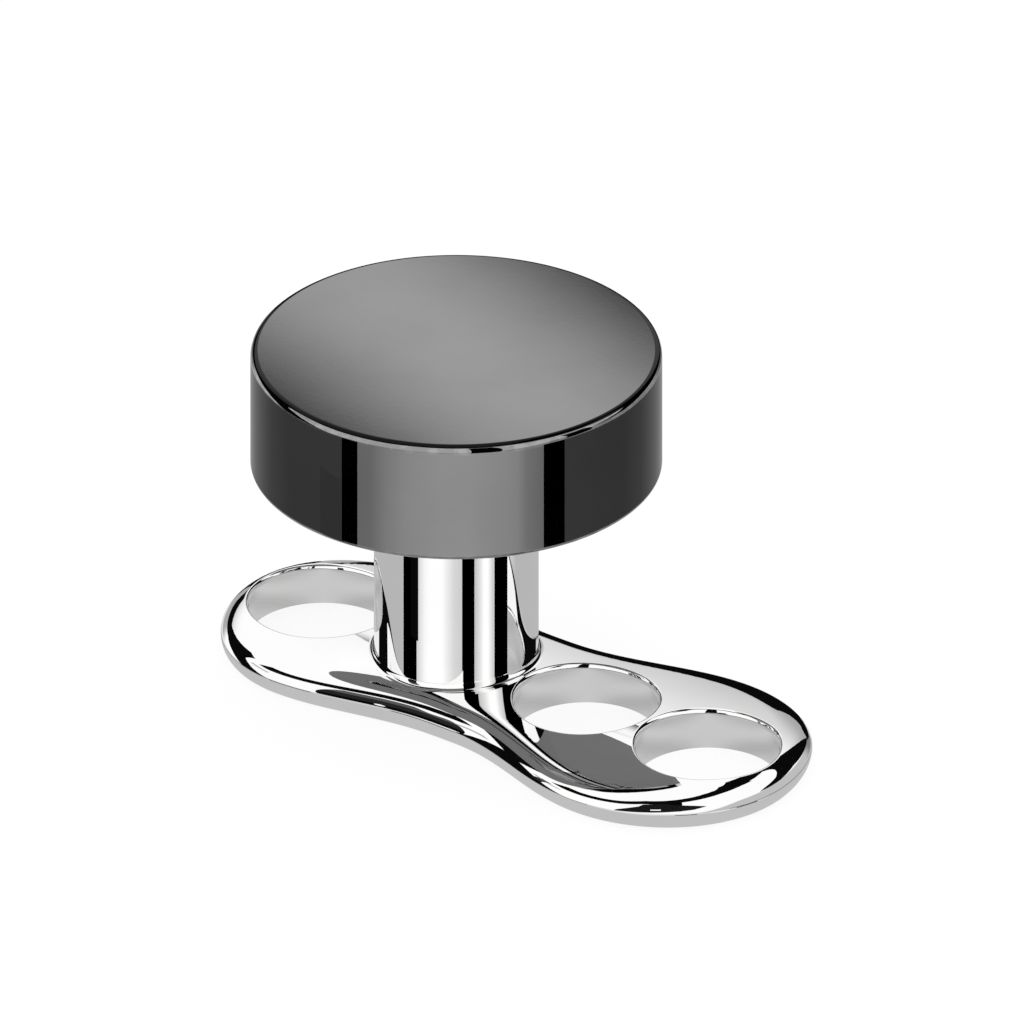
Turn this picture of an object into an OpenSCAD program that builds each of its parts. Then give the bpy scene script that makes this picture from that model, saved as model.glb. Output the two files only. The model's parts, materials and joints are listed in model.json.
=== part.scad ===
// Dermal anchor with a screwed-on flat disc top, unworn, standing on its foot plate.
// The origin is on the post's axis at the plate's underside, +X runs along the plate
// towards its two-hole end and +Z runs up the post.

/* [Post] */
// Diameter of the post
post_d = 1.6; // [1.4:0.1:2.4]
// Height of the post above the middle of the plate's top
post_rise = 2.03; // [1.9:0.01:3]
// Radius of the fillet at the post's foot
post_fillet = 0.06; // [0.02:0.01:0.12]
// Bevel round the post's mouth, outside and inside
mouth_break = 0.04; // [0.01:0.01:0.06]

/* [Tissue holes] */
// Diameter of the hole on the plate's short side
short_hole_d = 1.46; // [0.9:0.02:1.6]
// Diameter of each of the two holes on the plate's long side
long_hole_d = 1.4; // [0.9:0.05:1.6]
// Metal between the post and the hole on the plate's short side
short_web = 0.11; // [0.1:0.01:0.5]
// Metal between the post and the first hole on the plate's long side
long_web = 0.105; // [0.1:0.005:0.5]
// Metal between the two holes on the plate's long side
bridge = 0.1; // [0.09:0.01:0.4]
// Width of the bevel round the top of each hole
rim_break = 0.04; // [0.01:0.005:0.04]
// Depth of the bevel round the top of each hole
rim_depth = 0.07; // [0.02:0.01:0.1]

/* [Foot plate] */
// Thickness of the plate along its middle line
plate_t = 0.44; // [0.36:0.01:0.6]
// Fall of the plate's top from its middle line to its widest edge
crown = 0.1; // [0:0.01:0.12]
// Metal past the hole at the plate's short end
short_rim = 0.19; // [0.18:0.01:0.4]
// Metal past the hole at the plate's long end
long_rim = 0.18; // [0.18:0.01:0.4]
// Metal beside the hole at the widest place of the short lobe
short_side = 0.545; // [0.4:0.005:0.8]
// Metal beside the holes at the widest place of the long lobe
long_side = 0.695; // [0.4:0.005:0.9]
// Metal beside the post at the plate's waist
waist_side = 0.21; // [0.2:0.01:0.5]
// Distance from the short end to the widest place of its lobe
short_nose = 1.26; // [1.1:0.01:1.5]
// Distance from the long end to the widest place of its lobe
long_nose = 1.49; // [1.3:0.01:1.8]
// Distance from the post's axis to the middle of the waist
waist_x = 0.57; // [0.45:0.01:0.7]
// Length of the waist's straight stretch
waist_len = 0.25; // [0.1:0.01:0.4]
// Height of the plate's outermost line above its underside
edge_z = 0.2; // [0.15:0.01:0.22]
// Width of the rounding under the plate's outermost line
edge_under = 0.15; // [0.1:0.01:0.17]
// Width of the rounding above the plate's outermost line
edge_over = 0.28; // [0.18:0.01:0.35]

/* [Disc] */
// Diameter of the disc
disc_d = 4; // [3:0.1:5]
// Thickness of the disc
disc_t = 1.25; // [0.8:0.05:2]
// Radius of the disc's rounded edges
disc_round = 0.045; // [0.02:0.005:0.1]
// Gap between the disc's underside and the post's mouth
seat_gap = 0.01; // [0.005:0.005:0.05]

/* [Threaded stud] */
// Diameter over the thread's crests
thread_d = 1.04; // [0.8:0.02:1.2]
// Depth of the thread from crest to root
thread_depth = 0.145; // [0.08:0.005:0.16]
// Distance from one crest to the next
thread_pitch = 0.25; // [0.2:0.01:0.35]
// Length of the stud below the disc
stud_len = 1.7; // [1.2:0.05:1.8]
// Length of the plain neck above the thread
neck_len = 0.12; // [0.05:0.01:0.3]
// Diameter of the flat at the stud's tip
tip_d = 0.66; // [0.4:0.02:0.7]
// Clearance between the crests and the wall of the post's bore
bore_clear = 0.02; // [0.01:0.005:0.05]
// Space between the stud's tip and the bore's floor
tip_clear = 0.1; // [0.05:0.01:0.2]

/* [Hidden] */
steel = [0.78, 0.78, 0.8];
black_coat = [0.16, 0.16, 0.17];
overcut = 0.1;       // how far a cutter runs past what it cuts
cone_reach = 2;      // a bevelling cone runs on past the rim to this many times the bevel
round_fn = 96;       // sides shown on round surfaces
lobe_steps = 13;     // outline points from each end of the plate to its lobe's widest place
blend_steps = 8;     // outline points from a lobe to the waist
edge_steps = 5;      // rings above, and below, the plate's outermost line
fillet_steps = 5;    // straight pieces in a small rounding
thread_sides = 24;   // points round the thread
thread_rows = 10;    // rows of points in one pitch
crest_share = 0.15;  // flat on a crest, as a share of half the pitch
root_share = 0.25;   // flat in a root, as a share of half the pitch
disc_sink = 0.3;     // how far the stud runs up into the disc, as a share of its thickness
inner_rows = [0.5, 0, -0.5];  // rows across the plate's top, as shares of its half-width

post_r = post_d / 2;
short_hole_r = short_hole_d / 2;
long_hole_r = long_hole_d / 2;
thread_r = thread_d / 2;
bore_r = thread_r + bore_clear;
post_top = plate_t + post_rise;
disc_z = post_top + seat_gap;
bore_floor = disc_z - stud_len - tip_clear;

// places along the plate, all reckoned out from the post
short_hole_x = -(post_r + short_web + short_hole_r);
near_hole_x = post_r + long_web + long_hole_r;
far_hole_x = near_hole_x + long_hole_d + bridge;
short_end = short_hole_x - short_hole_r - short_rim;
long_end = far_hole_x + long_hole_r + long_rim;
short_lobe_x = short_end + short_nose;
long_lobe_x = long_end - long_nose;
waist_start = waist_x - waist_len / 2;
waist_end = waist_x + waist_len / 2;

// half-widths of the plate
short_half = short_hole_r + short_side;
long_half = long_hole_r + long_side;
waist_half = post_r + waist_side;
widest = max(short_half, long_half);

function ease(s) = (1 - cos(180 * s)) / 2;
function top_z(y) = plate_t - crown * pow(y / widest, 2);

// One side of the plate's outline, from its short end to its long end.
function nose(x, reach, half, from, to) =
    [for (i = [0 : lobe_steps - 1])
        let (a = from + (to - from) * i / lobe_steps)
        [x + reach * cos(a), half * sin(a)]];
function blend(x0, x1, half0, half1) =
    [for (i = [0 : blend_steps - 1])
        let (s = i / blend_steps)
        [x0 + (x1 - x0) * s, half0 + (half1 - half0) * ease(s)]];
side = concat(
    nose(short_lobe_x, short_nose, short_half, 180, 90),
    blend(short_lobe_x, waist_start, short_half, waist_half),
    [[waist_start, waist_half]],
    blend(waist_end, long_lobe_x, waist_half, long_half),
    nose(long_lobe_x, long_nose, long_half, 90, 0),
    [[long_end, 0]]);
last = len(side) - 1;
outline = concat(side, [for (j = [last - 1 : -1 : 1]) [side[j].x, -side[j].y]]);
count = len(outline);

function outward(j) =
    let (t = outline[(j + 1) % count] - outline[(j + count - 1) % count])
    [-t.y, t.x] / norm(t);
function inset(j, d) = outline[j] - outward(j) * d;

// Rings of points up the plate's rounded edge: angle -90 is the underside, 90 the top.
edge_angles = [for (i = [-edge_steps : edge_steps]) 90 * i / edge_steps];
function edge_point(j, a) =
    let (width = a < 0 ? edge_under : edge_over)
    let (p = inset(j, width * (1 - cos(a))))
    [p.x, p.y, a < 0 ? edge_z * (1 + sin(a)) : edge_z + (top_z(p.y) - edge_z) * sin(a)];
rings = len(edge_angles);
function ring_at(i, j) = i * count + (j + count) % count;

// Points across the top, in rows from one side's top ring to the other's.
function across(j) =
    let (p = edge_point(j, 90))
    [for (s = inner_rows) [p.x, p.y * s, top_z(p.y * s)]];
row_len = len(inner_rows);
function row_at(j, k) =
    k == 0 ? ring_at(rings - 1, j)
    : k == row_len + 1 ? ring_at(rings - 1, -j)
    : rings * count + (j - 1) * row_len + k - 1;

module foot_plate() {
    points = concat(
        [for (a = edge_angles) for (j = [0 : count - 1]) edge_point(j, a)],
        [for (j = [1 : last - 1]) for (p = across(j)) p]);
    edge_faces = [for (i = [0 : rings - 2]) for (j = [0 : count - 1])
        [ring_at(i, j), ring_at(i, j + 1), ring_at(i + 1, j + 1), ring_at(i + 1, j)]];
    under_faces = concat(
        [[ring_at(0, 0), ring_at(0, -1), ring_at(0, 1)]],
        [for (j = [1 : last - 2])
            [ring_at(0, j), ring_at(0, -j), ring_at(0, -j - 1), ring_at(0, j + 1)]],
        [[ring_at(0, last - 1), ring_at(0, -last + 1), ring_at(0, last)]]);
    over_faces = concat(
        [for (k = [0 : row_len]) [ring_at(rings - 1, 0), row_at(1, k), row_at(1, k + 1)]],
        [for (j = [1 : last - 2]) for (k = [0 : row_len])
            [row_at(j, k), row_at(j + 1, k), row_at(j + 1, k + 1), row_at(j, k + 1)]],
        [for (k = [0 : row_len])
            [row_at(last - 1, k), ring_at(rings - 1, last), row_at(last - 1, k + 1)]]);
    polyhedron(points, concat(edge_faces, under_faces, over_faces));
}

// The post turned round its axis, from inside the plate up to its bevelled mouth.
module post() {
    foot = top_z(post_r + post_fillet);
    fillet = [for (i = [0 : fillet_steps])
        let (a = 90 * i / fillet_steps)
        [post_r + post_fillet * (1 - sin(a)), foot + post_fillet * (1 - cos(a))]];
    rotate_extrude($fn = round_fn)
        polygon(concat(
            [[0, edge_z], [post_r + post_fillet, edge_z]],
            fillet,
            [[post_r, post_top - mouth_break], [post_r - mouth_break, post_top], [0, post_top]]));
}

// A hole straight through the plate with its top edge bevelled.
module tissue_hole(x, r) {
    translate([x, 0, -overcut])
        cylinder(r = r, h = plate_t + 2 * overcut, $fn = round_fn);
    translate([x, 0, plate_t - rim_depth])
        cylinder(r1 = r, r2 = r + cone_reach * rim_break, h = cone_reach * rim_depth, $fn = round_fn);
}

// The blind bore that takes the stud, with its mouth bevelled.
module stud_bore() {
    translate([0, 0, bore_floor])
        cylinder(r = bore_r, h = post_top - bore_floor + overcut, $fn = round_fn);
    translate([0, 0, post_top - mouth_break])
        cylinder(r1 = bore_r, r2 = bore_r + mouth_break + overcut, h = mouth_break + overcut, $fn = round_fn);
}

module anchor() {
    color(steel)
        difference() {
            union() {
                foot_plate();
                post();
            }
            tissue_hole(short_hole_x, short_hole_r);
            for (x = [near_hole_x, far_hole_x]) tissue_hole(x, long_hole_r);
            stud_bore();
        }
}

// The disc turned round its axis, with both edges rounded.
module disc() {
    r = disc_d / 2;
    function corner(z, from) =
        [for (i = [0 : fillet_steps])
            let (a = from + 90 * i / fillet_steps)
            [r - disc_round + disc_round * cos(a), z + disc_round * sin(a)]];
    translate([0, 0, disc_z])
        rotate_extrude($fn = round_fn)
            polygon(concat(
                [[0, 0]],
                corner(disc_round, -90),
                corner(disc_t - disc_round, 0),
                [[0, disc_t]]));
}

// Radius of the stud at a depth below the disc and an angle round the axis.
function thread_at(depth, a) =
    let (turn = depth / thread_pitch + a / 360)
    let (from_crest = abs(2 * (turn - floor(turn)) - 1))
    let (fall = (from_crest - crest_share) / (1 - crest_share - root_share))
    thread_r - thread_depth * max(0, min(1, fall));
function stud_at(depth, a) =
    depth <= neck_len ? thread_r - thread_depth
    : min(thread_at(depth, a), tip_d / 2 + stud_len - depth);

// The stud as rings of points down its thread, closed at both ends.
module stud() {
    turned = ceil((stud_len - neck_len) / thread_pitch * thread_rows);
    depths = concat(
        [-disc_t * disc_sink],
        [for (i = [0 : turned]) neck_len + (stud_len - neck_len) * i / turned]);
    points = [for (d = depths) for (k = [0 : thread_sides - 1])
        let (a = 360 * k / thread_sides, r = stud_at(d, a))
        [r * cos(a), r * sin(a), disc_z - d]];
    function at(i, k) = i * thread_sides + k % thread_sides;
    walls = [for (i = [0 : len(depths) - 2]) for (k = [0 : thread_sides - 1])
        each [[at(i, k), at(i, k + 1), at(i + 1, k + 1)], [at(i, k), at(i + 1, k + 1), at(i + 1, k)]]];
    polyhedron(points, concat(
        walls,
        [[for (k = [thread_sides - 1 : -1 : 0]) at(0, k)]],
        [[for (k = [0 : thread_sides - 1]) at(len(depths) - 1, k)]]));
}

module disc_top() {
    color(black_coat)
        union() {
            disc();
            stud();
        }
}

anchor();
disc_top();
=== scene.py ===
import json
import math

import bpy
import numpy as np
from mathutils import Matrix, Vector
from mathutils.geometry import delaunay_2d_cdt


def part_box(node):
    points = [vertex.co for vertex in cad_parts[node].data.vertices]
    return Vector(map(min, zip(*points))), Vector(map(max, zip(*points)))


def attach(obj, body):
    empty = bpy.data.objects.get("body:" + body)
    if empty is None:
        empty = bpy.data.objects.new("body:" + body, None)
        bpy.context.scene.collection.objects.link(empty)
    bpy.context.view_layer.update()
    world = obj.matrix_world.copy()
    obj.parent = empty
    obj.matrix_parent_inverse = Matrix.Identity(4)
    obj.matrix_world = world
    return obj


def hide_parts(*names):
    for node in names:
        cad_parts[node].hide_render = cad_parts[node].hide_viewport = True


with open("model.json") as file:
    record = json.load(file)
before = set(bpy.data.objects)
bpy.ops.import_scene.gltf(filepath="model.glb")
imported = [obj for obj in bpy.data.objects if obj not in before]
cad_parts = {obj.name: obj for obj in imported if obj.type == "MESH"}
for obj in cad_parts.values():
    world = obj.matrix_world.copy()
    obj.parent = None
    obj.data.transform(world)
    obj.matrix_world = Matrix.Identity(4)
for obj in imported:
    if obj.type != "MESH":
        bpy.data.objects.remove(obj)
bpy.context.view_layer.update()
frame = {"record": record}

# Lengths are in millimetres until a mesh is made; MM turns them into Blender's metres.
MM = 0.001
TAU = 2 * math.pi

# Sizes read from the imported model
anchor_low, anchor_high = (np.array(v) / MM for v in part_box("anchor"))
top_low, top_high = (np.array(v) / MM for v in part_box("disc_top"))
MOUNTS = {m["name"]: m for m in frame["record"]["mounts"]}
HOLES = [(MOUNTS[name]["pos_m"][0] / MM, MOUNTS[name]["dims"]["r_mm"])
         for name in ("short_hole", "near_hole", "far_hole")]
SHORT_END, LONG_END = anchor_low[0], anchor_high[0]
LONG_HALF = anchor_high[1]
POST_TOP = anchor_high[2]
DISC_R = top_high[0]
DISC_TOP = top_high[2]
STUD_TIP = top_low[2]

# Sizes of the foot plate; the BACK ones say how far the back of its long lobe swells, and how much wider
# its rounded edge is there
PLATE_T = 0.44
CROWN = 0.10
SHORT_HALF = 1.275
WAIST_HALF = 1.01
SHORT_NOSE = 1.26
LONG_NOSE = 1.49
WAIST_X = 0.57
WAIST_LEN = 0.25
EDGE_Z = 0.20
EDGE_UNDER = 0.15
EDGE_OVER = 0.28
BAND_REACH = 0.07
OUTLINE_SOFTEN = 0.08
BACK_REACH = (2.8, 1.0)
BACK_SWELL = 0.07
BACK_ROLL = 0.08
RIM_ROUND = 0.04
RIM_DEPTH = 0.07
UNDER_ROUND = 0.008

# Sizes of the post and its bore
POST_R = 0.8
POST_FILLET = 0.06
MOUTH_ROUND = 0.04
BORE_R = 0.54
TIP_CLEAR = 0.1
BORE_FLOOR = STUD_TIP - TIP_CLEAR
BORE_GROOVE = 0.05

# Sizes of the disc and its stud
DISC_T = 1.25
DISC_ROUND = 0.045
DISC_TOP_ROUND = 0.068
STUD_R = 0.52
STUD_CORE = 0.375
STUD_TIP_R = 0.33
NECK = 0.12
PITCH = 0.25
CREST_SHARE, ROOT_SHARE = 0.15, 0.25

# How finely the meshes are cut
OUTLINE_STEPS = 640
HOLE_STEPS = 176
POST_STEPS = 224
DISC_STEPS = 384
GRID = 0.036
GRID_CLEAR = 0.6 * GRID
MERGE = 1e-7
ROUND_STEPS = 10
THREAD_ROWS = 20
END_SHARES = (1, 0.5, 0.1)
TOP_SHARES = (0.8, 0.5, 0.2, 0.05)
NECK_OVERLAP = 0.98

# The metals: each range goes from one end of a pattern to the other; clouds, patches, lines and grain are
# sizes in millimetres, and marks are heights
CLOUD_RANGE = (0.35, 0.65)
STEEL_CLOUD, STEEL_STRETCH, STEEL_BLEND = 0.9, 24, (0.15, 0.4)
STEEL_COLOURS = ((0.915, 0.915, 0.92), (0.945, 0.945, 0.94))
STEEL_ROUGHNESS = (0.01, 0.022)
STEEL_LINE, STEEL_MARKS = 0.03, 0.00001
COATING_CLOUD, COATING_PATCH, PATCH_RANGE, GRAIN_RANGE = 1.1, 0.12, (0.4, 0.62), (0.3, 0.7)
COATING_COLOURS = ((0.28, 0.28, 0.282), (0.3, 0.3, 0.3))
# The edge colour below is partly wear and partly a painted highlight along the disc's rounded edges.
COATING_WORN_AND_HIGHLIGHT = (0.38, 0.38, 0.38)
# The dark colour below is a painted reflection: a near-black ring painted round the disc's top rounded
# edge.
PAINTED_REFLECTION_DARK = (0.01, 0.01, 0.01)
COATING_ROUGHNESS = (0.014, 0.03)
COATING_GRAIN, COATING_MARKS = 0.05, 0.00003
# The ring of painted dark reflection lies between these two insets from the disc's edge, with this soft
# edge.
PAINTED_REFLECTION_RING, PAINTED_REFLECTION_RING_EDGE = (0.07, 0.02), 0.004

# The camera, in degrees and pixels of the photograph's frame
CAMERA_AZIMUTH = 38.2
CAMERA_ELEVATION = 28.3
FRAME_PX = 1024
PX_PER_MM = 103.0
ORIGIN_PX = (456.3, 688.3)
CAMERA_DISTANCE, CAMERA_NEAR, CAMERA_FAR = 100, 1, 1000

# The table
FLOOR_HALF = 200
FLOOR_TONE, FLOOR_GLOW = 0.16, 0.87

# The lights, which only the metal mirrors. Angles are degrees round from the camera and up from level.
# A stripe's pair is an angle round and the light there; the tent's are the middle and width of a soft step.
TENT_DISTANCE, CARD_DISTANCE, STRIPE_DISTANCE = 450, 400, 40
TENT_GREY, TENT_WHITE = 0.55, 1.06
TENT_HORIZON, TENT_BLEND = -20, 12
TENT_RISE, TENT_RIGHT_BLEND = 26, 3
TENT_RIGHT, TENT_RIGHT_END = (40, 40), (157, 15)
TENT_BACK, TENT_DIM, TENT_DIM_START, TENT_DIM_END = (140, 14), 0.6, (-15, 10), (22, 30)
CARD_BLACK = 0.003
CARD_GRID, CARD_MERGE = 4, 1e-6
CARDS = {
    "left_back_card": [
        (-78, -24), (-110, -25), (-113, -10), (-120, 0), (-135, 8), (-160, 5), (-170, 12), (-165, 20),
        (-145, 20), (-135, 30), (-125, 42), (-113, 42), (-108, 25), (-98, 15), (-88, 0), (-82, -12)],
    "right_back_card": [
        (75, 8), (82, 14), (100, 22), (120, 38), (130, 50), (135, 62), (150, 62), (150, 20), (152, 0),
        (140, 5), (120, 10), (100, 5), (85, 6)],
    "back_card": [
        (150, -1), (156, 4), (163, 3), (168, 6), (172, 12.5), (176, 16), (177, 17.5), (178.2, 21.5),
        (192, 22), (192, -20), (181, -20), (181, 14.5), (178.2, 14.5), (178.2, -26), (165, -14),
        (155, -8)],
    "upper_card": [
        (-100, 38), (-90, 38), (-45, 50), (-30, 58), (60, 60), (100, 56), (130, 50), (150, 50), (150, 66),
        (120, 74), (60, 76), (-45, 72), (-60, 62), (-90, 52), (-100, 50)],
}
STRIPE_STEPS = 241
POST_STRIPE_HEIGHTS, DISC_STRIPE_HEIGHTS = (-0.3, 2.1), (2.3, 4.0)
POST_STRIPES = [
    (-180, 0.5), (-79, 0.5), (-79, 0), (-57, 0), (-57, 0.67), (-44, 1.02), (-37, 1.08), (-20, 1.08),
    (-12, 0.9), (-3, 0.73), (8, 0.65), (8, 0), (24.5, 0), (24.5, 0.64), (31, 0.7), (39, 1.06), (45, 1.05),
    (56, 0.65), (56, 0), (75.5, 0), (75.5, 0.75), (92, 0.5), (180, 0.5)]
SLEEVE_R, SLEEVE_LOW, SLEEVE_HIGH = 0.88, 0.45, 2.46
SLEEVE_STRIPES = [
    (5.1, 0), (13.9, 0), (13.9, 0.55), (15.1, 0.63), (18.2, 0.81), (21.4, 1.08), (24.7, 1.08),
    (28.1, 0.73), (30.3, 0.6), (30.3, 0), (42.4, 0)]
DISC_STRIPES = [
    (-180, 0.36), (-165, 0.36), (-148, 0.25), (-125, 0.14), (-106, 0.11), (-66, 0.12), (-66, 0), (-56, 0),
    (-56, 0.43), (-48, 0.46), (-39, 0.66), (-28, 0.81), (-8, 0.9), (8, 0.9), (28, 0.8), (34, 0.74),
    (39, 0.55), (49, 0.43), (49, 0), (62, 0), (62, 0.12), (106, 0.1), (125, 0.13), (148, 0.25),
    (165, 0.36), (180, 0.36)]
BAND_TURN, BAND_WIDTH, BAND_EDGE, BAND_DISTANCE = 34.7, 2.58, -0.77, 40
TOP_PANEL_HALF, TOP_PANEL_STEPS = 2.1, 61
PATCH_LIGHT, PATCH_SWING, PATCH_WAVE = 0.53, 0.08, 0.62
PATCH_SHARES, PATCH_STEPS, PATCH_DROP = (0.001, 0.35, 0.7, 1.05), 49, 0.002
# Each near card has its direction round, its distance, its outline sideways and upwards, and its light.
NEAR_CARDS = {
    "left_card": (-50, 3.33, [(-0.57, -0.5), (0.08, -0.5), (0.08, 0.45), (-0.57, 0.45)], 0.003),
    "left_card_middle": (-50, 3.33, [(-0.57, 0.45), (0.08, 0.45), (0.08, 1.5), (-0.57, 1.5)], 0.02),
    "left_card_top": (-50, 3.33, [(-0.57, 1.5), (0.08, 1.5), (0.08, 2.4), (-0.57, 2.4)], 0.1),
    "front_card": (0, 3.3, [
        (1.18, 0.03), (1.43, 0.12), (1.73, 0.2), (2.13, 0.26), (2.43, 0.3), (2.65, 0.42), (2.43, 0.55),
        (2.13, 0.72), (1.95, 0.95), (1.6, 0.95), (1.58, 0.7), (1.4, 0.45), (1.26, 0.25)], 0.01),
    "front_light": (0, 3.29, [(1.8, 0.34), (1.95, 0.34), (1.95, 0.42), (1.8, 0.42)], 1),
    "strip_card": (14.5, 8, [(-1.05, 0.6), (1, 0.6), (1, 12.8), (-1.05, 12.8)], 0.003),
    "side_strip_card": (57, 5, [(-0.6, 2.6), (0.6, 2.6), (0.6, 6), (-0.6, 6)], 0.003),
    "left_grey_card": (-90, 40, [(-7, 17.6), (7, 17.6), (7, 22.5), (-7, 22.5)], 0.5),
}


# Meshes

class Surface:
    """Points with their normals, and the faces between them, gathered into one mesh."""

    def __init__(self):
        self.points, self.normals, self.faces = [], [], []

    def add(self, points, normals):
        first = len(self.points)
        normals = normals / np.linalg.norm(normals, axis=1)[:, None]
        self.points.extend(points.tolist())
        self.normals.extend(normals.tolist())
        return np.arange(first, first + len(points))

    def bridge(self, low, high):
        """Quads between two closed rings of as many points, facing outwards when high is above low."""
        a, b = np.roll(low, -1), np.roll(high, -1)
        self.faces.extend(np.column_stack([low, a, b, high]).tolist())

    def stack(self, rings, flip=False):
        """Joins rings in order; flip turns the faces over."""
        for low, high in zip(rings, rings[1:]):
            if flip:
                low, high = high, low
            self.bridge(low, high)

    def build(self, name, material, body, node):
        mesh = bpy.data.meshes.new(name)
        mesh.from_pydata((np.array(self.points) * MM).tolist(), [], self.faces)
        mesh.validate()
        mesh.polygons.foreach_set("use_smooth", [True] * len(mesh.polygons))
        mesh.normals_split_custom_set_from_vertices(self.normals)
        mesh.materials.append(material)
        piece = bpy.data.objects.new(name, mesh)
        bpy.context.scene.collection.objects.link(piece)
        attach(piece, body)
        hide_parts(node)
        return piece


def angles(count):
    return np.arange(count) * TAU / count


def turned(surface, count, rho, z, normal_rho, normal_z):
    """A ring about the post's axis."""
    a = angles(count)
    c, s = np.cos(a), np.sin(a)
    return surface.add(
        np.column_stack([rho * c, rho * s, np.full(count, z)]),
        np.column_stack([normal_rho * c, normal_rho * s, np.full(count, normal_z)]))


def arc_rings(surface, count, rho, z, radius, start, end, hollow=False):
    """Rings round an arc of the profile, from one angle to another in degrees.

    A hollow arc's normals point inwards.
    """
    sign = -1 if hollow else 1
    rings = []
    for a in np.radians(np.linspace(start, end, ROUND_STEPS + 1)):
        c, s = math.cos(a), math.sin(a)
        rings.append(turned(surface, count, rho + radius * c, z + radius * s, sign * c, sign * s))
    return rings


# The foot plate

def ease(s):
    return (1 - np.cos(math.pi * s)) / 2


def plate_side():
    """One side of the plate's outline, from its short end to its long end."""
    n = OUTLINE_STEPS
    short_x, long_x = SHORT_END + SHORT_NOSE, LONG_END - LONG_NOSE
    waist_start, waist_end = WAIST_X - WAIST_LEN / 2, WAIST_X + WAIST_LEN / 2
    quarter = np.linspace(0, math.pi / 2, n, endpoint=False)
    s = np.linspace(0, 1, n, endpoint=False)
    pieces = [
        (short_x - SHORT_NOSE * np.cos(quarter), SHORT_HALF * np.sin(quarter)),
        (short_x + (waist_start - short_x) * s, SHORT_HALF + (WAIST_HALF - SHORT_HALF) * ease(s)),
        (waist_start + WAIST_LEN * s, np.full(n, WAIST_HALF)),
        (waist_end + (long_x - waist_end) * s, WAIST_HALF + (LONG_HALF - WAIST_HALF) * ease(s)),
        (long_x + LONG_NOSE * np.sin(quarter), LONG_HALF * np.cos(quarter)),
        (np.array([LONG_END]), np.array([0.0])),
    ]
    return np.column_stack([np.concatenate(v) for v in zip(*pieces)])


def back_share(xy):
    """1 along the back of the long lobe and 0 at the front and on the short side, with its gradient."""
    s = np.clip(xy / BACK_REACH, 0, 1)
    share = ease(s)
    steep = math.pi / 2 * np.sin(math.pi * s) / BACK_REACH
    return share.prod(axis=1), steep * share[:, ::-1]


def outward_of(loop):
    along = np.roll(loop, -1, axis=0) - np.roll(loop, 1, axis=0)
    outward = np.column_stack([along[:, 1], -along[:, 0]])
    return outward / np.linalg.norm(outward, axis=1)[:, None]


def plate_outline():
    """The plate's outline, counter-clockwise, evenly spaced and with its changes of curve softened."""
    side = plate_side()
    loop = np.vstack([side[::-1], (side * [1, -1])[1:]])
    run = np.concatenate([[0], np.cumsum(np.linalg.norm(np.diff(loop, axis=0), axis=1))])
    even = np.linspace(0, run[-1], OUTLINE_STEPS, endpoint=False)
    loop = np.column_stack([np.interp(even, run, loop[:, k]) for k in range(2)])
    waves = np.fft.fftfreq(OUTLINE_STEPS, run[-1] / OUTLINE_STEPS)
    keep = np.exp(-2 * (math.pi * waves * OUTLINE_SOFTEN) ** 2)
    loop = np.column_stack([np.fft.ifft(np.fft.fft(loop[:, k]) * keep).real for k in range(2)])
    low, high = loop[:, 0].min(), loop[:, 0].max()
    loop[:, 0] = SHORT_END + (loop[:, 0] - low) * (LONG_END - SHORT_END) / (high - low)
    loop[:, 1] *= LONG_HALF / loop[:, 1].max()
    share, _ = back_share(loop)
    loop[:, 1] += BACK_SWELL * share
    return loop, outward_of(loop)


OUTLINE, OUTWARD = plate_outline()


def inset_of(xy):
    """How far inside the outline each point lies, and the outward direction there."""
    near = np.concatenate([
        np.argmin(((part[:, None, :] - OUTLINE[None]) ** 2).sum(axis=2), axis=1)
        for part in np.array_split(xy, max(1, len(xy) // 500))])
    out = OUTWARD[near]
    return ((OUTLINE[near] - xy) * out).sum(axis=1), out


def plate_top(xy):
    """Height of the plate's top and its gradient at points in plan."""
    d, out = inset_of(xy)
    across = xy[:, 1] / LONG_HALF
    top = PLATE_T - CROWN * across ** 2
    share, share_gradient = back_share(xy)
    over = EDGE_OVER + BACK_ROLL * share
    t = np.clip(1 - d / over, 0, 1)
    height = np.sqrt(np.clip(1 - t ** 2, 0, 1))
    fall = (top - EDGE_Z) * t / np.maximum(height, 1e-6)
    steeper = share_gradient * (BACK_ROLL * d / over ** 2)[:, None]
    gradient = -fall[:, None] * (out / over[:, None] + steeper)
    gradient[:, 1] -= 2 * CROWN * across / LONG_HALF * height
    return EDGE_Z + (top - EDGE_Z) * height, gradient


def edge_rings(surface):
    """Rings from the plate's underside round its edge to BAND_REACH inside it."""
    rings = []
    for a in np.radians(np.linspace(-90, 0, ROUND_STEPS, endpoint=False)):
        xy = OUTLINE - OUTWARD * EDGE_UNDER * (1 - math.cos(a))
        normals = np.column_stack([
            OUTWARD * math.cos(a) / EDGE_UNDER, np.full(len(xy), math.sin(a) / EDGE_Z)])
        height = np.full(len(xy), EDGE_Z * (1 + math.sin(a)))
        rings.append(surface.add(np.column_stack([xy, height]), normals))
    for share in np.linspace(0, 1, ROUND_STEPS + 1):
        xy = OUTLINE - OUTWARD * BAND_REACH * share ** 2
        if share == 0:
            points = np.column_stack([xy, np.full(len(xy), EDGE_Z)])
            rings.append(surface.add(points, np.column_stack([OUTWARD, np.zeros(len(xy))])))
            continue
        rings.append(top_ring(surface, xy))
    return rings


def top_ring(surface, xy):
    z, gradient = plate_top(xy)
    return surface.add(np.column_stack([xy, z]), np.column_stack([-gradient, np.ones(len(xy))]))


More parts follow.
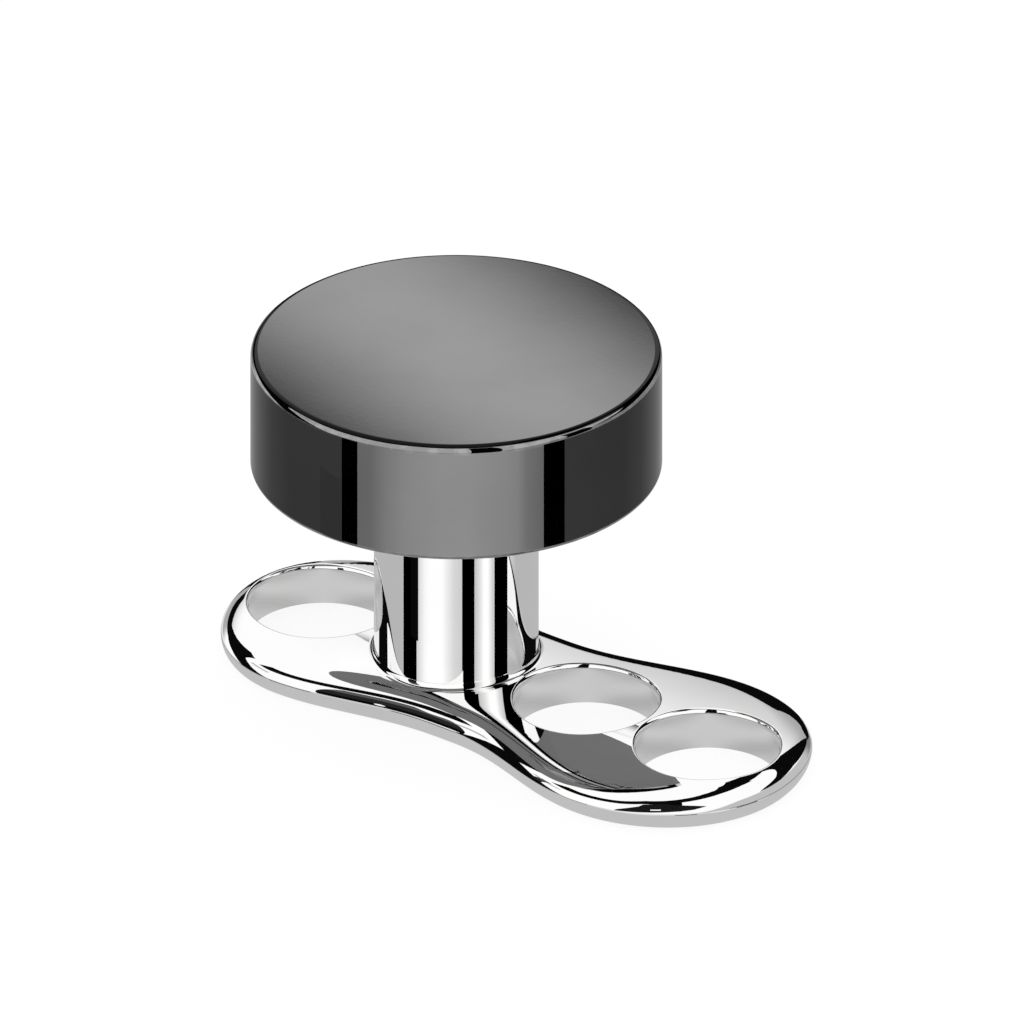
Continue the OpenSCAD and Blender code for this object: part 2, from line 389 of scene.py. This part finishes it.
def rounded_ring(surface, centre_x, count, radius, foot, a, rise):
    """A ring where the plate's top turns into an upright wall.

    The rounding is foot wide and the size of rise high; rise is above zero up a post and below it
    down a hole.
    """
    t = angles(count)
    radial = np.column_stack([np.cos(t), np.sin(t)])
    xy = [centre_x, 0] + radial * (radius + foot * (1 - math.cos(a)))
    z, gradient = plate_top(xy)
    z = z + rise * (1 - math.sin(a))
    flat = -gradient * math.sin(a) / abs(rise) + radial * math.copysign(math.cos(a), rise) / foot
    normals = np.column_stack([flat, np.full(count, math.sin(a) / abs(rise))])
    return surface.add(np.column_stack([xy, z]), normals)


def fill(surface, outer, inner, keep_clear, top):
    """Triangles between an outer ring and rings inside it, with even points added between them."""
    boundary = np.concatenate([outer, *inner])
    known = np.array([surface.points[i][:2] for i in boundary])
    low, high = known.min(axis=0), known.max(axis=0)
    rows = []
    for k, y in enumerate(np.arange(low[1], high[1], GRID * math.sqrt(3) / 2)):
        x = np.arange(low[0] + (k % 2) * GRID / 2, high[0], GRID)
        rows.append(np.column_stack([x, np.full(len(x), y)]))
    spare = np.vstack(rows)
    d, _ = inset_of(spare)
    clear = d > keep_clear + GRID_CLEAR
    for x, r in [(x, r + RIM_ROUND) for x, r in HOLES] + [(0, POST_R + POST_FILLET)]:
        if top or x:
            clear &= np.hypot(spare[:, 0] - x, spare[:, 1]) > r + GRID_CLEAR
    spare = spare[clear]
    if top:
        added = top_ring(surface, spare)
    else:
        added = surface.add(
            np.column_stack([spare, np.zeros(len(spare))]), np.tile([0.0, 0, -1], (len(spare), 1)))
    index = np.concatenate([boundary, added])
    edges, start = [], 0
    for ring in (outer, *inner):
        n = len(ring)
        edges += [(start + i, start + (i + 1) % n) for i in range(n)]
        start += n
    flat = [Vector(surface.points[i][:2]) for i in index]
    _, _, faces, origin, _, _ = delaunay_2d_cdt(flat, edges, [], 0, MERGE, True)
    centres = np.array([np.mean([flat[origin[i][0]] for i in f], axis=0) for f in faces])
    inside, _ = inset_of(centres)
    good = inside > keep_clear
    for ring in inner:
        loop = np.array([surface.points[i][:2] for i in ring])
        middle = loop.mean(axis=0)
        radius = np.hypot(*(loop[0] - middle)) * math.cos(math.pi / len(ring))
        good &= np.hypot(*(centres - middle).T) > radius
    for f, ok in zip(faces, good):
        if ok:
            corners = [int(index[origin[i][0]]) for i in f]
            surface.faces.append(corners if top else corners[::-1])


def foot_plate(surface):
    """The plate with its three holes, up to the foot of the post, whose ring it gives."""
    edge = edge_rings(surface)
    surface.stack(edge)
    bends = np.radians(np.linspace(90, 0, ROUND_STEPS + 1))
    hole_tops, hole_feet = [], []
    for x, r in HOLES:
        rings = [rounded_ring(surface, x, HOLE_STEPS, r, RIM_ROUND, a, -RIM_DEPTH) for a in bends]
        t = angles(HOLE_STEPS)
        radial = np.column_stack([np.cos(t), np.sin(t)])
        for a in np.radians(np.linspace(0, -90, ROUND_STEPS // 2 + 1)):
            out = UNDER_ROUND * (1 - math.cos(a))
            points = np.column_stack([
                [x, 0] + radial * (r + out), np.full(HOLE_STEPS, UNDER_ROUND * (1 + math.sin(a)))])
            normals = np.column_stack([-radial * math.cos(a), np.full(HOLE_STEPS, math.sin(a))])
            rings.append(surface.add(points, normals))
        surface.stack(rings)
        hole_tops.append(rings[0])
        hole_feet.append(rings[-1])
    post = [rounded_ring(surface, 0, POST_STEPS, POST_R, POST_FILLET, a, POST_FILLET) for a in bends]
    surface.stack(post)
    fill(surface, edge[-1], hole_tops + [post[0]], BAND_REACH, True)
    fill(surface, edge[0], hole_feet, EDGE_UNDER, False)
    return post[-1]


# The post

def off_crest(z, a):
    """How far a point is from the crest of the right-hand thread: 0 on the crest, 1 in the root."""
    turn = (DISC_TOP - DISC_T - z) / PITCH + a / TAU
    return np.abs(2 * (turn - np.floor(turn)) - 1)


def bore_radius(z, a):
    """Radius of the bore's wall, with a thread groove cut outwards from its plain bore."""
    groove = BORE_GROOVE * (1 + np.cos(math.pi * off_crest(z, a))) / 2
    fade = np.clip((POST_TOP - MOUTH_ROUND - z) / PITCH, 0, 1) * np.clip((z - BORE_FLOOR) / PITCH, 0, 1)
    return BORE_R + groove * fade


def threaded_ring(surface, count, z, radius_of, sign):
    """A ring of a thread about the post's axis; sign is 1 on a stud and -1 in a bore."""
    a, step = angles(count), 1e-4
    r = radius_of(z, a)
    by_z = (radius_of(z + step, a) - radius_of(z - step, a)) / (2 * step)
    by_a = (radius_of(z, a + step) - radius_of(z, a - step)) / (2 * step) / r
    c, s = np.cos(a), np.sin(a)
    normals = sign * np.column_stack([c + by_a * s, s - by_a * c, -by_z])
    return surface.add(np.column_stack([r * c, r * s, np.full(count, z)]), normals)


def fan(surface, ring, z, up):
    """Closes a ring with triangles round a middle point; up is 1 facing up and -1 facing down."""
    middle = surface.add(np.array([[0, 0, z]]), np.array([[0.0, 0, up]]))[0]
    for i, j in zip(ring, np.roll(ring, -1)):
        surface.faces.append([int(i), int(j), int(middle)][::up])


def flat_end(surface, count, radius, z, up):
    """A flat round face about the post's axis."""
    rings = [turned(surface, count, radius * share, z, 0, up) for share in END_SHARES]
    surface.stack(rings, flip=up < 0)
    fan(surface, rings[-1], z, up)


def anchor_piece(material):
    surface = Surface()
    foot = foot_plate(surface)
    rings = [foot]
    mouth = POST_TOP - MOUTH_ROUND
    rings += arc_rings(surface, POST_STEPS, POST_R - MOUTH_ROUND, mouth, MOUTH_ROUND, 0, 90)
    rings += arc_rings(surface, POST_STEPS, BORE_R + MOUTH_ROUND, mouth, MOUTH_ROUND, 90, 180)
    rows = math.ceil((mouth - BORE_FLOOR) / PITCH * THREAD_ROWS)
    for z in np.linspace(mouth, BORE_FLOOR, rows + 1)[1:]:
        rings.append(threaded_ring(surface, POST_STEPS, z, bore_radius, -1))
    surface.stack(rings)
    flat_end(surface, POST_STEPS, BORE_R, BORE_FLOOR, 1)
    return surface.build("dermal_anchor", material, "anchor", "anchor")


# The disc top

def stud_radius(z, a):
    """Radius of the stud, threaded from its neck to its bevelled tip."""
    depth = DISC_TOP - DISC_T - z
    fall = np.clip((off_crest(z, a) - CREST_SHARE) / (1 - CREST_SHARE - ROOT_SHARE), 0, 1)
    thread = STUD_R - (STUD_R - STUD_CORE) * ease(fall)
    bevel = STUD_TIP_R + z - STUD_TIP
    whole = np.minimum(thread, bevel)
    start = np.clip((depth - NECK) / (PITCH / 2), 0, 1)
    return STUD_CORE + (whole - STUD_CORE) * np.where(z < STUD_TIP + PITCH, 1, start)


def disc_piece(material):
    surface = Surface()
    base = DISC_TOP - DISC_T
    stud_count = POST_STEPS // 2
    rows = math.ceil((base - STUD_TIP) / PITCH * THREAD_ROWS)
    heights = np.linspace(STUD_TIP, base, rows + 1)
    surface.stack([threaded_ring(surface, stud_count, z, stud_radius, 1) for z in heights])
    flat_end(surface, stud_count, STUD_TIP_R, STUD_TIP, -1)
    rings = [turned(surface, DISC_STEPS, STUD_CORE * NECK_OVERLAP, base, 0, -1)]
    rings += arc_rings(surface, DISC_STEPS, DISC_R - DISC_ROUND, base + DISC_ROUND, DISC_ROUND, -90, 0)
    flat = DISC_R - DISC_TOP_ROUND
    rings += arc_rings(surface, DISC_STEPS, flat, DISC_TOP - DISC_TOP_ROUND, DISC_TOP_ROUND, 0, 90)
    rings += [turned(surface, DISC_STEPS, flat * share, DISC_TOP, 0, 1) for share in TOP_SHARES]
    surface.stack(rings)
    fan(surface, rings[-1], DISC_TOP, 1)
    return surface.build("flat_disc_top", material, "top", "disc_top")


# Materials

def pattern(material, size, stretch=(1, 1, 1), detail=3):
    """A cloudy pattern that stays with the metal; size is that of its patches, before the stretch."""
    nodes, links = material.node_tree.nodes, material.node_tree.links
    where = nodes.new("ShaderNodeTexCoord")
    scaled = nodes.new("ShaderNodeMapping")
    scaled.inputs["Scale"].default_value = [1 / (size * MM * s) for s in stretch]
    noise = nodes.new("ShaderNodeTexNoise")
    noise.inputs["Scale"].default_value = 1
    noise.inputs["Detail"].default_value = detail
    links.new(where.outputs["Object"], scaled.inputs["Vector"])
    links.new(scaled.outputs["Vector"], noise.inputs["Vector"])
    return noise.outputs["Fac"]


def spread(material, value, start, end, low, high):
    """Takes a value between start and end to one between low and high, softly and no further."""
    node = material.node_tree.nodes.new("ShaderNodeMapRange")
    node.interpolation_type = "SMOOTHSTEP"
    for name, number in (("From Min", start), ("From Max", end), ("To Min", low), ("To Max", high)):
        node.inputs[name].default_value = number
    material.node_tree.links.new(value, node.inputs["Value"])
    return node.outputs["Result"]


def joined(material, operation, first, second):
    node = material.node_tree.nodes.new("ShaderNodeMath")
    node.operation = operation
    material.node_tree.links.new(first, node.inputs[0])
    material.node_tree.links.new(second, node.inputs[1])
    return node.outputs["Value"]


def tinted(material, share, low, high):
    """A colour between two, by the share of the second."""
    node = material.node_tree.nodes.new("ShaderNodeMix")
    node.data_type = "RGBA"
    node.inputs["A"].default_value = (*low, 1)
    node.inputs["B"].default_value = (*high, 1)
    material.node_tree.links.new(share, node.inputs["Factor"])
    return node.outputs["Result"]


def metal(name):
    material = bpy.data.materials.new(name)
    material.use_nodes = True
    shader = material.node_tree.nodes["Principled BSDF"]
    shader.inputs["Metallic"].default_value = 1
    return material, shader


def polish_marks(material, shader, value, height):
    """Lines too fine to see singly, which only just soften what the metal mirrors."""
    bump = material.node_tree.nodes.new("ShaderNodeBump")
    bump.inputs["Strength"].default_value = 1
    bump.inputs["Distance"].default_value = height * MM
    material.node_tree.links.new(value, bump.inputs["Height"])
    material.node_tree.links.new(bump.outputs["Normal"], shader.inputs["Normal"])


def polished_steel():
    """Mirror-polished steel: faint clouding, and buffing lines along the plate."""
    material, shader = metal("polished_steel")
    links = material.node_tree.links
    cloud = pattern(material, STEEL_CLOUD, detail=4)
    lines = pattern(material, STEEL_LINE, (STEEL_STRETCH, 1, 1), 2)
    tone = tinted(material, spread(material, cloud, *CLOUD_RANGE, 0, 1), *STEEL_COLOURS)
    links.new(tone, shader.inputs["Base Color"])
    blend = joined(material, "MULTIPLY", cloud, lines)
    links.new(spread(material, blend, *STEEL_BLEND, *STEEL_ROUGHNESS), shader.inputs["Roughness"])
    polish_marks(material, shader, lines, STEEL_MARKS)
    return material


def disc_position(material):
    """How far a point of the disc is from its axis, and from its middle height, in metres."""
    nodes, links = material.node_tree.nodes, material.node_tree.links
    where = nodes.new("ShaderNodeTexCoord")
    level = nodes.new("ShaderNodeVectorMath")
    level.operation = "MULTIPLY"
    level.inputs[1].default_value = (1, 1, 0)
    across = nodes.new("ShaderNodeVectorMath")
    across.operation = "LENGTH"
    parts = nodes.new("ShaderNodeSeparateXYZ")
    above = nodes.new("ShaderNodeMath")
    above.operation = "SUBTRACT"
    above.inputs[1].default_value = (DISC_TOP - DISC_T / 2) * MM
    links.new(where.outputs["Object"], level.inputs[0])
    links.new(level.outputs["Vector"], across.inputs[0])
    links.new(where.outputs["Object"], parts.inputs["Vector"])
    links.new(parts.outputs["Z"], above.inputs[0])
    return across.outputs["Value"], above.outputs["Value"]


def between(material, value, middle, width, edge):
    """1 where a value in metres is near the middle and 0 beyond the width, which are in millimetres."""
    nodes, links = material.node_tree.nodes, material.node_tree.links
    off = nodes.new("ShaderNodeMath")
    off.operation = "SUBTRACT"
    off.inputs[1].default_value = middle * MM
    away = nodes.new("ShaderNodeMath")
    away.operation = "ABSOLUTE"
    links.new(value, off.inputs[0])
    links.new(off.outputs["Value"], away.inputs[0])
    start, end = (width - edge) / 2 * MM, (width + edge) / 2 * MM
    return spread(material, away.outputs["Value"], start, end, 1, 0)


def mixed(material, share, colour, value):
    """Mixes a linked colour with a plain one, by the share of the plain one."""
    node = material.node_tree.nodes.new("ShaderNodeMix")
    node.data_type = "RGBA"
    node.inputs["B"].default_value = (*value, 1)
    material.node_tree.links.new(share, node.inputs["Factor"])
    material.node_tree.links.new(colour, node.inputs["A"])
    return node.outputs["Result"]


def black_coated_steel():
    """Steel with a shiny black coating, clouded in its tone; its edges are lighter, partly worn and partly
    a painted highlight, and a dark ring of painted reflection runs round the top edge.
    """
    material, shader = metal("black_coated_steel")
    links = material.node_tree.links
    cloud = spread(material, pattern(material, COATING_CLOUD, detail=4), *CLOUD_RANGE, 0, 1)
    grain = pattern(material, COATING_GRAIN, detail=2)
    across, above = disc_position(material)
    half = DISC_T / 2
    low_edge = between(material, above, -half, DISC_ROUND * 2, DISC_ROUND)
    high_edge = between(material, above, half - DISC_TOP_ROUND * 0.7, DISC_TOP_ROUND, DISC_TOP_ROUND / 2)
    outside = between(material, across, DISC_R, DISC_ROUND * 2, DISC_ROUND)
    rim = joined(material, "MULTIPLY", outside, joined(material, "ADD", low_edge, high_edge))
    patches = spread(material, pattern(material, COATING_PATCH, detail=3), *PATCH_RANGE, 0, 1)
    # Lighter, rougher patches on the rounded edges: partly wear and partly a painted highlight.
    wear_and_painted_highlight = joined(material, "MULTIPLY", rim, patches)
    # A painted dark reflection: a near-black ring on the upper part of the disc's top rounding, set by
    # radius and height.
    start, end = PAINTED_REFLECTION_RING
    upper = between(material, above, half, DISC_TOP_ROUND, DISC_TOP_ROUND / 4)
    ring = between(material, across, DISC_R - (start + end) / 2, start - end, PAINTED_REFLECTION_RING_EDGE)
    painted_reflection_mask = joined(material, "MULTIPLY", upper, ring)
    coating = tinted(material, cloud, *COATING_COLOURS)
    coating = mixed(material, wear_and_painted_highlight, coating, COATING_WORN_AND_HIGHLIGHT)
    links.new(mixed(material, painted_reflection_mask, coating, PAINTED_REFLECTION_DARK), shader.inputs["Base Color"])
    grained = spread(material, grain, *GRAIN_RANGE, 0, 0.5)
    blend = joined(material, "ADD", grained, spread(material, wear_and_painted_highlight, 0, 1, 0, 0.5))
    links.new(spread(material, blend, 0, 1, *COATING_ROUGHNESS), shader.inputs["Roughness"])
    polish_marks(material, shader, grain, COATING_MARKS)
    return material


# The stage

def camera():
    data = bpy.data.cameras.new("camera")
    data.type = "ORTHO"
    data.ortho_scale = FRAME_PX / PX_PER_MM * MM
    data.clip_start, data.clip_end = CAMERA_NEAR * MM, CAMERA_FAR * MM
    a, e = math.radians(CAMERA_AZIMUTH), math.radians(CAMERA_ELEVATION)
    back = Vector((math.sin(a) * math.cos(e), -math.cos(a) * math.cos(e), math.sin(e)))
    turn = (-back).to_track_quat("-Z", "Y")
    right, up = turn @ Vector((1, 0, 0)), turn @ Vector((0, 1, 0))
    middle = FRAME_PX / 2
    aim = right * (middle - ORIGIN_PX[0]) - up * (middle - ORIGIN_PX[1])
    cam = bpy.data.objects.new("camera", data)
    bpy.context.scene.collection.objects.link(cam)
    cam.location = aim / PX_PER_MM * MM + back * CAMERA_DISTANCE * MM
    cam.rotation_mode = "QUATERNION"
    cam.rotation_quaternion = turn
    bpy.context.scene.camera = cam


def place(around, up, distance):
    """Points at a distance from the middle: around is degrees to the camera's right, up is from level."""
    turn = np.radians(CAMERA_AZIMUTH - 90 + np.asarray(around, float))
    a, e = np.broadcast_arrays(turn, np.radians(up))
    return distance * np.stack([np.cos(a) * np.cos(e), np.sin(a) * np.cos(e), np.sin(e)], axis=-1)


def floor():
    """The white table, which the metal doesn't mirror: the patches and stripes stand in for it there."""
    mesh = bpy.data.meshes.new("floor")
    half = FLOOR_HALF * MM
    corners = [(-half, -half, 0), (half, -half, 0), (half, half, 0), (-half, half, 0)]
    mesh.from_pydata(corners, [], [(0, 1, 2, 3)])
    piece = bpy.data.objects.new("floor", mesh)
    bpy.context.scene.collection.objects.link(piece)
    material = bpy.data.materials.new("floor")
    material.use_nodes = True
    shader = material.node_tree.nodes["Principled BSDF"]
    shader.inputs["Base Color"].default_value = (FLOOR_TONE, FLOOR_TONE, FLOOR_TONE, 1)
    shader.inputs["Roughness"].default_value = 1
    shader.inputs["Specular IOR Level"].default_value = 0
    shader.inputs["Emission Color"].default_value = (1, 1, 1, 1)
    shader.inputs["Emission Strength"].default_value = FLOOR_GLOW
    mesh.materials.append(material)
    piece.visible_glossy = False


def panel_material():
    """A light whose strength is written at each corner of its mesh."""
    material = bpy.data.materials.new("panel")
    material.use_nodes = True
    nodes, links = material.node_tree.nodes, material.node_tree.links
    nodes.clear()
    strength = nodes.new("ShaderNodeAttribute")
    strength.attribute_name = "light"
    emission = nodes.new("ShaderNodeEmission")
    output = nodes.new("ShaderNodeOutputMaterial")
    links.new(strength.outputs["Fac"], emission.inputs["Strength"])
    links.new(emission.outputs["Emission"], output.inputs["Surface"])
    return material


def panel(name, points, faces, light):
    """A panel or a card that only polished metal sees."""
    mesh = bpy.data.meshes.new(name)
    mesh.from_pydata((points.reshape(-1, 3) * MM).tolist(), [], faces)
    mesh.attributes.new("light", "FLOAT", "POINT").data.foreach_set("value", np.ravel(light).tolist())
    mesh.materials.append(PANEL)
    piece = bpy.data.objects.new(name, mesh)
    bpy.context.scene.collection.objects.link(piece)
    piece.visible_camera = False
    piece.visible_diffuse = False
    piece.visible_transmission = False
    piece.visible_shadow = False


def sheet(name, points, light):
    """A panel from a grid of points, with its light at each."""
    rows, columns = points.shape[:2]
    index = np.arange(rows * columns).reshape(rows, columns)
    corners = [index[:-1, :-1], index[:-1, 1:], index[1:, 1:], index[1:, :-1]]
    panel(name, points, np.stack(corners, axis=-1).reshape(-1, 4).tolist(), light)


def card(name, outline):
    """A black card far away, its outline given by directions."""
    edge = []
    for (a0, e0), (a1, e1) in zip(outline, outline[1:] + outline[:1]):
        n = max(1, math.ceil(max(abs(a1 - a0), abs(e1 - e0)) / CARD_GRID))
        edge += [(a0 + (a1 - a0) * i / n, e0 + (e1 - e0) * i / n) for i in range(n)]
    around, up = zip(*edge)
    spare = [(a, e) for a in np.arange(min(around), max(around), CARD_GRID)
             for e in np.arange(min(up), max(up), CARD_GRID)]
    count = len(edge)
    loop = [(i, (i + 1) % count) for i in range(count)]
    flat, _, faces, _, _, _ = delaunay_2d_cdt([Vector(p) for p in edge + spare], loop, [], 1, CARD_MERGE)
    around, up = np.array([(v.x, v.y) for v in flat]).T
    panel(name, place(around, up, CARD_DISTANCE), faces, np.full(len(flat), CARD_BLACK))


def soft_step(x, middle, width):
    t = np.clip((x - middle) / width + 0.5, 0, 1)
    return t * t * (3 - 2 * t)


def tent():
    """The white tent round everything, grey below, with the grey reaching higher on the right."""
    around, up = np.meshgrid(np.linspace(-180, 180, 181), np.linspace(-90, 90, 181))
    right = soft_step(around, *TENT_RIGHT) * (1 - soft_step(around, *TENT_RIGHT_END))
    horizon = TENT_HORIZON + TENT_RISE * right
    width = TENT_BLEND + (TENT_RIGHT_BLEND - TENT_BLEND) * right
    light = TENT_GREY + (TENT_WHITE - TENT_GREY) * soft_step(up, horizon, width)
    back = soft_step(np.abs(around), *TENT_BACK)
    dim = soft_step(up, *TENT_DIM_START) * (1 - soft_step(up, *TENT_DIM_END))
    light = light * (1 - TENT_DIM * back * dim)
    sheet("tent", place(around, up, TENT_DISTANCE), light)


def striped(stops):
    """Angles round from the camera with the light at each, from stops; one given twice is a hard edge."""
    at, light = zip(*stops)
    around = np.unique(np.concatenate([np.linspace(at[0], at[-1], STRIPE_STEPS), np.array(at)]))
    edges = np.array(at)[1:][np.diff(at) == 0]
    columns = np.sort(np.concatenate([around, edges]))
    value = np.interp(columns, at, light)
    for edge in edges:
        first, last = np.flatnonzero(columns == edge)
        k = at.index(edge)
        value[first], value[last] = light[k], light[k + 1]
    return columns, value


def stripes(name, radius, low, high, stops):
    """Upright lights and dark cards far off, at the height where a round wall mirrors them to the camera.

    The wall has the given radius and reaches from low to high.
    """
    columns, value = striped(stops)
    travel = STRIPE_DISTANCE - radius * np.cos(np.radians(columns / 2))
    fall = travel * math.tan(math.radians(CAMERA_ELEVATION))
    middle = place(columns, 0, STRIPE_DISTANCE)
    rows = [middle + np.outer(height - fall, [0, 0, 1]) for height in (low, high)]
    sheet(name, np.stack(rows), np.stack([value, value]))


def post_sleeve():
    """Stripes close round the right of the post, which mirrors them straight down to its foot."""
    columns, value = striped(SLEEVE_STRIPES)
    rows = [place(columns, 0, SLEEVE_R) + [0, 0, height] for height in (SLEEVE_LOW, SLEEVE_HIGH)]
    sheet("post_sleeve", np.stack(rows), np.stack([value, value]))


def top_panel():
    """The soft band of light behind, which the disc's flat top mirrors."""
    across = np.linspace(-TOP_PANEL_HALF, TOP_PANEL_HALF, TOP_PANEL_STEPS)
    side, depth = np.meshgrid(across, across)
    band = math.radians(BAND_TURN)
    off = side * math.cos(band) - depth * math.sin(band)
    light = BAND_EDGE + (1 - BAND_EDGE) * np.exp(-(off / BAND_WIDTH) ** 2)
    rise = DISC_TOP + (BAND_DISTANCE + depth) * math.tan(math.radians(CAMERA_ELEVATION))
    right, near = place(90, 0, 1), place(0, 0, 1)
    points = side[..., None] * right - BAND_DISTANCE * near + rise[..., None] * [0, 0, 1]
    sheet("top_panel", points, np.clip(light, 0, None))


def table_patches():
    """The table just under each hole, which the hole's wall mirrors."""
    share, turn = np.meshgrid(PATCH_SHARES, np.linspace(0, 360, PATCH_STEPS))
    for k, (x, r) in enumerate(HOLES):
        points = share[..., None] * r * place(turn, 0, 1) + [x, 0, -PATCH_DROP]
        light = PATCH_LIGHT + PATCH_SWING * np.cos(share * np.sin(np.radians(turn)) * r * TAU / PATCH_WAVE)
        sheet("table_patch_%d" % k, points, light)


def near_card(name, around, distance, outline, light):
    """An upright card near the metal, facing it; its outline is given sideways and upwards."""
    count = len(outline)
    loop = [(i, (i + 1) % count) for i in range(count)]
    flat, _, faces, _, _, _ = delaunay_2d_cdt([Vector(p) for p in outline], loop, [], 1, CARD_MERGE)
    side, height = np.array([(v.x, v.y) for v in flat]).T
    sideways, upwards = place(around + 90, 0, 1), [0, 0, 1]
    points = place(around, 0, distance) + np.outer(side, sideways) + np.outer(height, upwards)
    panel(name, points, faces, np.full(len(flat), light))


def studio():
    world = bpy.data.worlds.new("studio")
    bpy.context.scene.world = world
    world.use_nodes = True
    world.node_tree.nodes["Background"].inputs["Color"].default_value = (1, 1, 1, 1)
    bpy.context.scene.view_settings.view_transform = "Standard"
    tent()
    for name, outline in CARDS.items():
        card(name, outline)
    stripes("post_stripes", POST_R, *POST_STRIPE_HEIGHTS, POST_STRIPES)
    stripes("disc_stripes", DISC_R, *DISC_STRIPE_HEIGHTS, DISC_STRIPES)
    post_sleeve()
    top_panel()
    table_patches()
    for name, values in NEAR_CARDS.items():
        near_card(name, *values)


camera()
steel = polished_steel()
black = black_coated_steel()
PANEL = panel_material()
anchor_piece(steel)
disc_piece(black)
floor()
studio()
